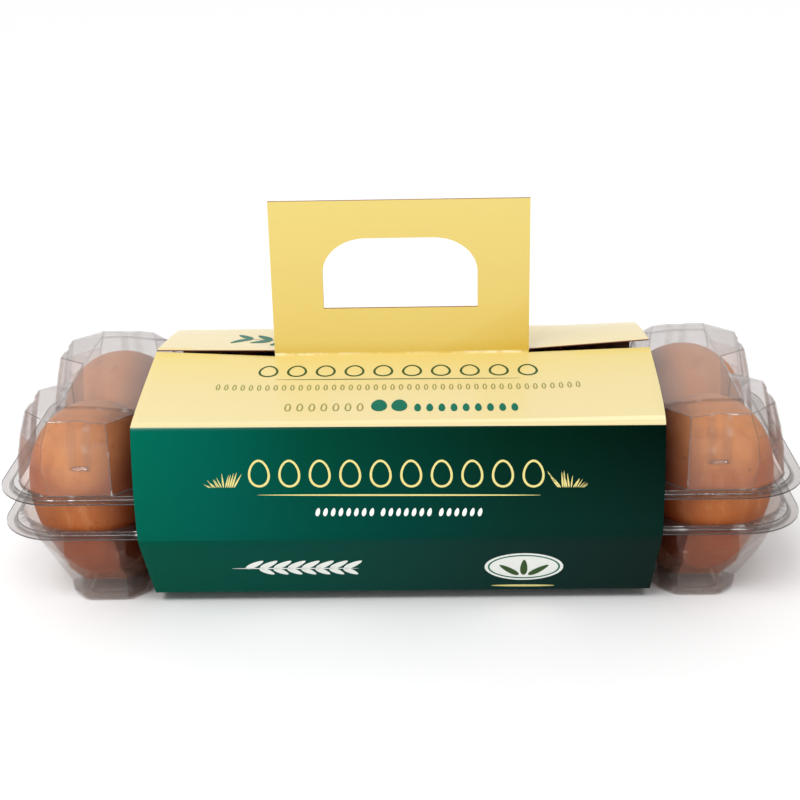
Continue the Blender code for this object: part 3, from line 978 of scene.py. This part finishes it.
def clear_pet(name, tint, gloss_level, lip_z, drawn_haze):
    """PET sheet, thermoformed: clear and glossy, greyer at a slant, with slow ripples from the draw.

    It is thin and hazy in its creases, and tinted dark there as painted shade: dark lines over white, and
    pale broken ones over the eggs. Its lip wasn't drawn: it is flatter, and thicker, so greyer. Its feet
    were drawn thin, so they are hazier. A cup's walls carry the brown of their egg as a painted reflection,
    in place of the white round them, and take painted shade where the next column of cups shades them.
    """
    mat, node = blank_material(name)
    bent, near_egg, shaded = [
        node("ShaderNodeAttribute", attribute_name=mark).outputs["Fac"]
        for mark in ("bend", "near_egg", "next_column")
    ]
    browned = node("GREATER_THAN", near_egg, BROWNED)
    facing = node("ShaderNodeLayerWeight", 0.5).outputs["Facing"]
    place = node("ShaderNodeTexCoord").outputs["Object"]
    height = node("split", place).outputs["Z"]
    undrawn = node("COMPARE", height, (lip_z + LIP_RISE) * MM, 2 * LIP_RISE * MM)
    calm = node("MULTIPLY_ADD", undrawn, -0.35, 1.0)

    ripple = node("noise", place, per_metre(DRAW_RIPPLE), 2.0)
    rippled = node("MULTIPLY_ADD", undrawn, -0.25, 0.25)
    normal = node("bump", ripple, rippled, 0.4 * MM)
    dashes = node("noise", place, per_metre(CREASE_DASH), 2.0)
    broken = node("range", dashes, 0.56, 0.66)

    grazing = node("POWER", facing, 5.0)
    sky = node("MULTIPLY_ADD", browned, -0.75, 0.95)
    mirror = node("MULTIPLY_ADD", grazing, sky, gloss_level)
    glint = node("MULTIPLY_ADD", broken, 0.2, 0.03)
    mirror = node("MULTIPLY_ADD", bent, glint, mirror)
    mirror = node("MULTIPLY", mirror, calm)

    # Painted reflection: walls near an egg take a pink tint of its brown in what is seen through them
    painted_egg_tint = node("MULTIPLY", near_egg, 0.5)
    slant = node("POWER", facing, 2.0)
    # Painted shade: creases get a dark tint in what is seen through them, darkest on the undrawn lip
    crease = node("mix", undrawn, "BAB4B1", "7C7673")
    seen_through = tint
    for share, code in (
        (undrawn, "F0EEED"),
        (painted_egg_tint, "FADBCB"),
        (shaded, "D4B8A6"),
        (slant, "DAD7D6"),
        (bent, crease),
    ):
        seen_through = node("mix", share, seen_through, code)
    clear = node("ShaderNodeBsdfTransparent", seen_through)

    in_creases = node("MULTIPLY_ADD", broken, 0.22, 0.06)
    bent = node("MULTIPLY", bent, calm)
    haze_and_reflection_share = node("MULTIPLY_ADD", bent, in_creases, 0.006)
    haze_and_reflection_share = node("MULTIPLY_ADD", near_egg, 0.18, haze_and_reflection_share)
    from_lip = node("SUBTRACT", height, lip_z * MM)
    drawn = node("ABSOLUTE", from_lip)
    thinned = node("range", drawn, THIN_START * MM, THIN_END * MM, 0.0, drawn_haze)
    haze_and_reflection_share = node("ADD", haze_and_reflection_share, thinned)
    # Painted reflection: where walls lie near an egg, their haze takes its brown in place of white
    haze_and_egg_brown = node("mix", browned, "FBF8F6", "B27358")
    haze_and_egg_reflection = node("ShaderNodeBsdfDiffuse", {"Color": haze_and_egg_brown, "Normal": normal})
    sheet = node("shader mix", haze_and_reflection_share, clear, haze_and_egg_reflection)
    gloss = node("gloss", "FFFFFF", 0.06, normal)
    node("ShaderNodeOutputMaterial", node("shader mix", mirror, sheet, gloss))
    return mat


def cut_pet_edge():
    """PET sheet where a die cut it: seen through its length, so darker than its face."""
    mat, node = blank_material("pet_die_cut_edge")
    clear = node("ShaderNodeBsdfTransparent", "1E1A19")
    gloss = node("gloss", "E8ECEE", 0.2)
    node("ShaderNodeOutputMaterial", node("shader mix", 0.12, clear, gloss))
    return mat


# Browns from low on the egg to its top: darker low down as painted shade, paler near the top as painted
# light
SHELL_BROWNS = ((0.1, "9C5731"), (0.38, "B0612D"), (0.58, "B86C3C"), (0.74, "DA9054"), (1.0, "CB8450"))


def eggshell():
    """Brown hen's eggshell, as laid: satin, mottled over centimetres, speckled, with painted light near its
    top.

    Its brown is darker low down, painted shade. Upright smears run over it, darker and lighter. The end
    eggs are darker on the flanks that they turn in beside the sleeve, painted shade. The pores, a twentieth
    of a millimetre wide, are drawn about ten times as wide so that they show.
    """
    mat, node = blank_material("brown_eggshell_as_laid")
    place = node("ShaderNodeTexCoord").outputs["Object"]
    axes = node("split", place).outputs
    cloud = node("noise", place, per_metre(SHELL_CLOUD), 3.0)
    drift = node("range", cloud, 0.3, 0.7, -CLOUD_SHIFT * MM, CLOUD_SHIFT * MM)
    level = node("ADD", axes["Z"], drift)
    share = node("range", level, BROWNS_START * MM, BROWNS_END * MM)
    colour = node("ramp", share, stops=SHELL_BROWNS)

    flecks = node("noise", place, per_metre(SHELL_SPECK), 1.0)
    upright = node("ShaderNodeMapping", {0: place, 3: (1.0, 1.0, 0.4)})
    smears = node("noise", upright, per_metre(SHELL_SMEAR), 4.0, 0.65)
    for marks, start, end, most, code in (
        (smears, 0.52, 0.72, 0.3, "8E4A26"),
        (smears, 0.46, 0.3, 0.22, "E6B080"),
        (flecks, 0.68, 0.76, 0.4, "743A1A"),
    ):
        marked = node("range", marks, start, end, 0.0, most)
        colour = node("mix", marked, colour, code)

    # Painted shade on the end eggs' flanks beside the sleeve
    from_middle = node("ABSOLUTE", axes["X"])
    span = (FLANK_START * MM, FLANK_END * MM, 0.92, 0.0)
    inwards = node("range", from_middle, *span, interpolation_type="SMOOTHSTEP")
    end_egg = node("GREATER_THAN", from_middle, END_EGG_FROM * MM)
    sleeve_shade_share = node("MULTIPLY", inwards, end_egg)
    colour = node("mix", sleeve_shade_share, colour, "68260A")
    pores = node("noise", place, per_metre(SHELL_PORE), 2.0)
    normal = node("bump", pores, 0.3, 0.1 * MM)
    node("ShaderNodeOutputMaterial", node("surface", colour, 0.48, normal, 0.25))
    return mat


# Places on the card blank in millimetres down from the fold, or up to the handle's crease and a painted
# highlight band
YELLOW_SPAN = (-96.0, -44.0)
CREAM_SPAN = (-44.5, 0.0)
HANDLE_CREASE = 44.6
CRACK_AND_HIGHLIGHT_LINE = HANDLE_CREASE + 0.35
FOLD_HIGHLIGHT_BAND = 1.6
GLOSS_END = 1.2
MIDDLE_GREEN = (3.6, 32.4)
FRONT_CREASE = 36.8
SLACK = 0.1

# The print's reach along the sleeve, and how much lower its green starts for each millimetre from the left
PRINT_HALF = 81.0
PRINT_LEFT = 80.0
GREEN_SLIP = 0.0062

# Painted shade that deepens the handle's yellow: growth for each millimetre right and down, and its span
HANDLE_SHADE_RIGHT = 0.9
HANDLE_SHADE_DOWN = 1.6
HANDLE_SHADE_FROM = 75.0
HANDLE_SHADE_SPAN = (-10.0, 35.0)

# Printed colours, and the share of painted shade over the handle
GREENS = (
    ((0.0, "00634F"), (0.15, "00584A"), (0.33, "004333"), (0.5, "013529"), (0.7, "012619"), (1.0, "00130D")),
    ((0.0, "005E4B"), (0.15, "00564A"), (0.33, "00493D"), (0.5, "003E36"), (0.7, "063129"), (1.0, "07241E")),
    ((0.0, "01503F"), (0.2, "024A3E"), (0.5, "0B3D36"), (0.7, "0E302B"), (1.0, "0F231F")),
)
HANDLE_YELLOWS = ((0.0, "E3CE7C"), (0.45, "E2CA78"), (0.9, "E3CB74"), (1.0, "DABC5A"))
HANDLE_SHADE = ((0.0, "000000"), (0.5, "444444"), (0.56, "747474"), (1.0, "B8B8B8"))
TOP_CREAMS = ((0.0, "DFC97A"), (0.25, "DECB88"), (0.5, "DDCC93"), (0.9, "DDCD98"), (1.0, "DFCF9C"))


def printed_board(name, roughness, shine):
    """Folding boxboard, offset printed and varnished: cream above the fold, dark green below it.

    The varnish hides the fibres, which are drawn coarser than they are, and leaves an even sheen. The
    green darkens along the sleeve. Painted shade deepens the handle's yellow towards its lower right, a
    painted highlight runs as a pale band above the front's fold, stronger to the right, and the fold into
    the handle is pale and broken, cracked board with a painted highlight.
    """
    mat, node = blank_material(name)
    blank = node("ShaderNodeUVMap", uv_map="blank")
    axes = node("split", blank).outputs
    down = axes["Y"]
    at_back = node("GREATER_THAN", axes["X"], BACK_SHIFT / 2)
    along = node("MULTIPLY_ADD", at_back, -BACK_SHIFT, axes["X"])
    off_middle = node("ABSOLUTE", along)

    across = node("range", along, -PRINT_HALF, PRINT_HALF)
    upper, middle, lower = [node("ramp", across, stops=greens) for greens in GREENS]
    sinking = node("range", down, *MIDDLE_GREEN)
    side = node("mix", sinking, upper, middle)
    below = node("GREATER_THAN", down, FRONT_CREASE)
    green = node("mix", below, side, lower)

    sunk = node("range", down, *YELLOW_SPAN)
    yellow = node("ramp", sunk, stops=HANDLE_YELLOWS)
    # Painted shade: the handle's yellow deepens towards its lower right
    rightwards = node("MULTIPLY_ADD", along, HANDLE_SHADE_RIGHT, HANDLE_SHADE_FROM)
    low_right = node("MULTIPLY_ADD", down, HANDLE_SHADE_DOWN, rightwards)
    corner = node("range", low_right, *HANDLE_SHADE_SPAN)
    shade = node("ramp", corner, stops=HANDLE_SHADE)
    handle = node("mix", shade, yellow, "D2A92C")
    towards_fold = node("range", down, *CREAM_SPAN)
    front_top = node("ramp", towards_fold, stops=TOP_CREAMS)

    # Pale broken line along the handle's fold: cracked board, and a painted highlight
    cracks = node("noise", blank, 1 / FOLD_CRACK, 2.0)
    cracked = node("range", cracks, 0.4, 0.62, 0.15, 0.9)
    outer = node("range", off_middle, 14.0, 30.0, 0.35, 1.0)
    crack_and_highlight = node("MULTIPLY", cracked, outer)
    # Painted highlight: a pale band above the front's fold, stronger to the right
    highlight_strength = node("range", along, -70.0, 50.0, 0.25, 0.9)
    paler = []
    for field, middle, inside, outside, strength, code in (
        (handle, CRACK_AND_HIGHLIGHT_LINE, 0.25, 0.5, crack_and_highlight, "F1E4B4"),
        (front_top, FOLD_HIGHLIGHT_BAND, 0.6, 1.2, highlight_strength, "EEE2B2"),
    ):
        above = node("ADD", down, middle)
        off_line = node("ABSOLUTE", above)
        on_line = node("range", off_line, inside, outside, 1.0, 0.0)
        pale = node("MULTIPLY", on_line, strength)
        paler.append(node("mix", pale, field, code))
    handle, front_top = paler

    top = node("mix", at_back, front_top, "E3D096")
    above = node("LESS_THAN", down, -HANDLE_CREASE)
    beside = node("LESS_THAN", off_middle, HANDLE_RIGHT + SLACK)
    in_handle = node("MULTIPLY", above, beside)
    cream = node("mix", in_handle, top, handle)
    from_left = node("ADD", along, PRINT_LEFT)
    slip = node("MULTIPLY", from_left, GREEN_SLIP)
    past_fold = node("GREATER_THAN", down, slip)
    colour = node("mix", past_fold, cream, green)

    place = node("ShaderNodeTexCoord").outputs["Object"]
    fibres = node("noise", place, per_metre(BOARD_FIBRE), 3.0)
    normal = node("bump", fibres, 0.1, 0.1 * MM)
    node("ShaderNodeOutputMaterial", node("surface", colour, roughness, normal, shine))
    return mat


def bare_surface(name, code, fleck, roughness, shine):
    """A surface of one colour with lighter and darker flecks, fleck millimetres wide."""
    mat, node = blank_material(name)
    place = node("ShaderNodeTexCoord").outputs["Object"]
    flecks = node("noise", place, per_metre(fleck), 3.0)
    shade = node("range", {0: flecks, 3: 0.92, 4: 1.06})
    colour = node("scale vector", linear(code)[:3], shade)
    normal = node("bump", flecks, 0.1, 0.05 * MM)
    node("ShaderNodeOutputMaterial", node("surface", colour, roughness, normal, shine))
    return mat


def kraft_liner():
    """Unbleached kraft liner on the board's back, uncoated: dull brown, darkened as painted shade inside the
    sleeve, flecked with coarser fibres.
    """
    return bare_surface("kraft_liner_uncoated", "6E5641", LINER_FLECK, 0.9, 0.1)


def cut_board_edge():
    """Boxboard where a die cut it: the bare grey-brown pulp between its liners, dull."""
    return bare_surface("boxboard_die_cut_edge", "94604A", LINER_FLECK, 0.9, 0.2)


def offset_ink(name, code):
    """Offset ink under varnish: even, with a faint mottle where the board drank it."""
    return bare_surface(name, code, INK_MOTTLE, 0.34, 0.05)


# Printed shapes


def ink_row():
    """A node tree that prints a row of like shapes: egg outlines, seeds, leaves or one long rule."""
    sizes = ("Pitch", "Width", "Height", "Line", "Blunt", "Lean", "Fan", "Grow", "Jitter")
    inputs = {"Count": "Int", **dict.fromkeys(sizes, "Float"), "Seed": "Int", "Ink": "Material"}
    tree, node, given = blank_nodes("ink_row", inputs)

    place = node("GeometryNodeInputPosition")
    height = node("split", place).outputs["Y"]
    taper = node("MULTIPLY", height, given["Blunt"])
    narrow = node("SUBTRACT", 1.0, taper)
    egg_like = node("vector", narrow, 1.0)
    unit = node("ShaderNodeVectorMath", place, egg_like, operation="MULTIPLY")
    outer = node("vector", given["Width"], given["Height"])
    wall = node("vector", given["Line"], given["Line"])
    walls = node("scale vector", wall, 2.0)
    inner = node("ShaderNodeVectorMath", outer, walls, operation="SUBTRACT")
    curves = []
    for size in (outer, inner):
        half = node("scale vector", size, 0.5)
        point = node("ShaderNodeVectorMath", unit, half, operation="MULTIPLY")
        circle = node("GeometryNodeCurvePrimitiveCircle", {"Resolution": 40, "Radius": 1.0})
        curves.append(node("GeometryNodeSetPosition", {"Geometry": circle, "Position": point}))
    hollow = node("FunctionNodeCompare", given["Line"], 0.0, operation="GREATER_THAN")
    hole = node("GeometryNodeSwitch", {0: hollow, 2: curves[1]}, input_type="GEOMETRY")
    both = node("GeometryNodeJoinGeometry", [curves[0], hole])
    flat = node("GeometryNodeFillCurve", both, mode="TRIANGLES")
    rise = node("ShaderNodeVectorMath", outer, (0.0, 0.5, 0.0), operation="MULTIPLY")
    standing = node("GeometryNodeTransform", {"Geometry": flat, "Translation": rise})

    step = node("vector", given["Pitch"])
    line = node("GeometryNodeMeshLine", {"Count": given["Count"], "Offset": step})
    gaps = node("SUBTRACT", given["Count"], 1.0)
    share = node("DIVIDE", node("GeometryNodeInputIndex"), gaps)
    from_middle = node("SUBTRACT", share, 0.5)
    fanned = node("MULTIPLY_ADD", from_middle, given["Fan"], given["Lean"])
    least = node("MULTIPLY", given["Jitter"], -1.0)
    chance = node("FunctionNodeRandomValue", {2: least, 3: given["Jitter"], "Seed": given["Seed"]})
    turn = node("ADD", fanned, chance)
    rightwards = node("MULTIPLY", turn, -1.0)
    rotation = node("vector", {2: rightwards})
    smallest = node("SUBTRACT", 1.0, given["Jitter"])
    other_seed = node("ADD", given["Seed"], 5.0)
    chance_size = node("FunctionNodeRandomValue", {2: smallest, 3: 1.0, "Seed": other_seed})
    growth = node("MULTIPLY_ADD", from_middle, given["Grow"], 1.0)
    size = node("MULTIPLY", chance_size, growth)
    shapes = {"Points": line, "Instance": standing, "Rotation": rotation, "Scale": size}
    row = node("GeometryNodeInstanceOnPoints", shapes)
    half_gaps = node("MULTIPLY", gaps, -0.5)
    back = node("scale vector", step, half_gaps)
    centred = node("GeometryNodeTransform", {"Geometry": row, "Translation": back})
    end_nodes(node, centred, given["Ink"])
    return tree


# Height of one layer of ink above the card, how far a row sinks for each millimetre along it, and the
# rows that are printed on the back too
INK_LIFT = 0.05
PRINT_SLOPE = 0.011
INKS = {"gold": "E2D68A", "white": "F4F6F0", "moss": "3C562E", "olive": "938F52", "green": "146A55"}
BACK_PRINT = ("gold_", "white_")


def on_card(x, s, side, lift):
    """The point lift millimetres above the card at x, s millimetres down the card from its fold."""
    line, fold = half_line(x, side)
    along_card = lengths(line, fold)
    for (a, b), (low, high) in zip(zip(line, line[1:]), zip(along_card, along_card[1:])):
        if s <= high:
            y, z = blend(a, b, (s - low) / (high - low))
            outward = Vector((b[1] - a[1], a[0] - b[0])).normalized() * -side * lift
            return card_point(x, y + outward.x, z + outward.y)
    return card_point(x, *line[-1])


def print_row(name, tree, ink, side, x, s, layer=1, **sizes):
    """Prints one row of shapes that stands on the line s millimetres below the fold."""
    values = dict.fromkeys(("Pitch", "Line", "Blunt", "Lean", "Fan", "Grow", "Jitter"), 0.0)
    values.update({"Count": 1, "Seed": 3, "Ink": ink})
    values.update((key.title(), value) for key, value in sizes.items())
    row = from_nodes(name, tree, values)
    for vertex in row.data.vertices:
        along, up = vertex.co.x * -side, vertex.co.y
        down = s + PRINT_SLOPE * (x + along) - up
        vertex.co = Vector(on_card(x + along, down, side, INK_LIFT * layer)) * MM
    with opened(row.data) as body:
        for face in body.faces:
            turn_to(face, (0, side, 0))
    place_on_body(row, "printed_card")


def print_card():
    """The printed shapes: rows of plain eggs, blades, seeds and leaves, and thin rules."""
    tree = ink_row()
    inks = {name: offset_ink("offset_ink_" + name, code) for name, code in INKS.items()}
    egg = {"blunt": 0.13}
    seed = dict(egg, pitch=2.35, width=1.3, height=2.8, lean=0.25)
    leaf = {"width": 2.2, "height": 7.0, "blunt": 0.25}
    low_leaf = dict(leaf, height=-5.4, lean=-0.95)
    badge_leaf = dict(leaf, height=8.0, layer=2)
    blade = {"width": 0.42, "height": 4.4, "blunt": 0.6}
    tuft = dict(blade, count=13, pitch=0.62, fan=1.7, jitter=0.25)
    outline_egg = dict(egg, count=10, pitch=9.2)
    small_egg = dict(egg, pitch=3.7, width=2.1, height=4.6)
    big_leaf = dict(leaf, count=14, pitch=6.8, width=3.4)
    ring = dict(egg, pitch=2.62, width=1.4, height=3.6, line=0.4)
    rows = (
        ("gold_eggs", "gold", -0.5, 19.3, dict(outline_egg, width=6.6, height=8.7, line=0.7)),
        ("gold_tuft_left", "gold", -53.4, 19.4, dict(tuft, seed=4, lean=-0.25, grow=0.9)),
        ("gold_tuft_right", "gold", 52.2, 19.3, dict(tuft, seed=9, lean=0.25, grow=-0.9)),
        ("gold_rule", "gold", 0.3, 22.0, dict(width=86.0, height=0.55)),
        ("white_seeds_left", "white", -16.6, 28.7, dict(seed, count=8)),
        ("white_seeds_middle", "white", 2.1, 28.7, dict(seed, count=7)),
        ("white_seeds_right", "white", 18.6, 28.7, dict(seed, count=6)),
        ("sprig_stem", "white", -33.0, 51.8, dict(width=40.0, height=0.55)),
        ("sprig_leaves_above", "white", -33.0, 51.6, dict(leaf, count=8, pitch=4.4, lean=0.95)),
        ("sprig_leaves_below", "white", -31.0, 51.5, dict(low_leaf, count=7, pitch=4.4)),
        ("badge_field", "white", 38.7, 58.0, dict(width=24.6, height=14.2)),
        ("badge_rim", "green", 38.7, 57.1, dict(width=22.6, height=12.4, line=0.55, layer=2)),
        ("badge_leaves", "moss", 38.7, 55.2, dict(badge_leaf, count=3, pitch=1.6, fan=1.7)),
        ("badge_rule", "gold", 38.7, 61.6, dict(width=20.0, height=1.1)),
        ("moss_eggs", "moss", -0.3, -29.2, dict(outline_egg, width=6.4, height=7.6, line=0.75)),
        ("moss_rule", "moss", -0.3, -27.2, dict(width=78.0, height=0.5)),
        ("olive_seeds", "olive", -0.4, -20.4, dict(ring, count=44)),
        ("small_eggs_left", "olive", -22.5, -7.6, dict(small_egg, count=7, line=0.5)),
        ("eggs_middle", "green", -2.5, -7.4, dict(egg, count=2, pitch=6.2, width=4.9, height=7.0)),
        ("small_eggs_right", "green", 21.0, -7.2, dict(small_egg, count=9)),
        ("back_sprig_stem", "green", -7.0, -22.0, dict(width=95.0, height=0.9)),
        ("back_sprig_leaves_above", "green", -7.0, -22.0, dict(big_leaf, height=11.0, lean=0.6)),
        ("back_sprig_leaves_below", "green", -7.0, -22.0, dict(big_leaf, height=-9.0, lean=-0.6)),
    )
    for name, ink, x, s, sizes in rows:
        side = 1 if name.startswith("back_") else -1
        print_row("printed_" + name, tree, inks[ink], side, x, s, **sizes)
        if name.startswith(BACK_PRINT):
            print_row("printed_back_" + name, tree, inks[ink], 1, -x, s, **sizes)


def main():
    edge = cut_pet_edge()
    looks = {"tint": "F6F3F1", "gloss_level": 0.018, "drawn_haze": 0.03}
    make_tray(clear_pet("pet_thermoformed_tray", lip_z=TRAY_LIP_Z, **looks), edge)
    looks = {"tint": "FAF9F9", "gloss_level": 0.025, "drawn_haze": 0.0}
    make_lid(clear_pet("pet_thermoformed_lid", lip_z=LID_LIP_Z, **looks), edge)
    make_eggs(eggshell())
    make_sleeve(
        printed_board("boxboard_offset_printed_soft_varnish", 0.35, 0.02),
        printed_board("boxboard_offset_printed_gloss_varnish", 0.2, 0.32),
        kraft_liner(),
        cut_board_edge(),
    )
    print_card()
    make_stage()


# Studio, in metres but for the gap under the part
ROOM_GREYS = ((0.0, "EEEEEE"), (0.22, "BCBCBC"), (0.45, "BFBFBF"), (1.0, "DDDDDD"))
SOFT_SUN = math.radians(20)
LAMPS = (
    ("left_key", "SUN", (-0.25, -0.5, 0.85), {"energy": 0.94, "angle": SOFT_SUN}),
    ("right_key", "SUN", (0.2, -0.5, 0.85), {"energy": 0.5, "angle": SOFT_SUN}),
    ("softbox", "AREA", (-0.5, -0.35, 0.75), {"energy": 2.1, "size": 0.35}),
)
LAMP_TARGET = (0.0, 0.0, 0.05)
FLOOR_WIDTH = 60.0
FLOOR_GAP = 0.3
SHEETS_SEEN_THROUGH = 32


def make_stage():
    """A pale floor, soft light from all round, two keys and a softbox, and the photograph's camera."""
    scene = bpy.context.scene
    bpy.ops.mesh.primitive_plane_add(size=FLOOR_WIDTH, location=(0, 0, -FLOOR_GAP * MM))
    floor = bpy.context.object
    floor.name = "floor"
    floor.data.materials.append(bare_surface("matt_paper_sweep", "F7F7F7", FLOOR_TOOTH, 0.9, 0.0))

    world = bpy.data.worlds.new("studio")
    world.use_nodes = True
    world.node_tree.nodes.clear()
    node = partial(add, world.node_tree)
    direction = node("ShaderNodeTexCoord").outputs["Generated"]
    axes = node("split", direction).outputs
    room = node("ramp", axes["Z"], stops=ROOM_GREYS)
    behind = node("range", axes["Y"], 0.1, 0.8)
    horizon = node("range", axes["Z"], 0.03, 0.12, 1.0, 0.0)
    for share, code in ((behind, "F4F4F4"), (horizon, "FFFFFF")):
        room = node("mix", share, room, code)
    node("ShaderNodeOutputWorld", node("ShaderNodeBackground", room))
    scene.world = world
    for name, kind, place, settings in LAMPS:
        light = bpy.data.lights.new(name, kind)
        for key, value in settings.items():
            setattr(light, key, value)
        lamp = in_scene(name, light)
        lamp.location = place
        lamp.rotation_euler = (Vector(LAMP_TARGET) - Vector(place)).to_track_quat("-Z", "Y").to_euler()

    elevation, turn, roll = [math.radians(a) for a in (CAMERA_ELEVATION, CAMERA_TURN, CAMERA_ROLL)]
    level = Vector((math.cos(turn), math.sin(turn), 0.0))
    back = Vector((math.sin(turn), -math.cos(turn), 0.0)) * math.cos(elevation)
    back.z = math.sin(elevation)
    up = back.cross(level)
    right = level * math.cos(roll) + up * math.sin(roll)
    up = up * math.cos(roll) - level * math.sin(roll)
    lens = bpy.data.cameras.new("camera")
    lens.lens = FOCAL_LENGTH
    lens.sensor_width = SENSOR
    camera = in_scene("camera", lens)
    place = (Vector(CAMERA_TARGET) + back * CAMERA_DISTANCE) * MM
    camera.matrix_world = Matrix.Translation(place) @ Matrix((right, up, back)).transposed().to_4x4()
    scene.camera = camera
    scene.view_settings.view_transform = "Standard"
    scene.cycles.transparent_max_bounces = SHEETS_SEEN_THROUGH


main()
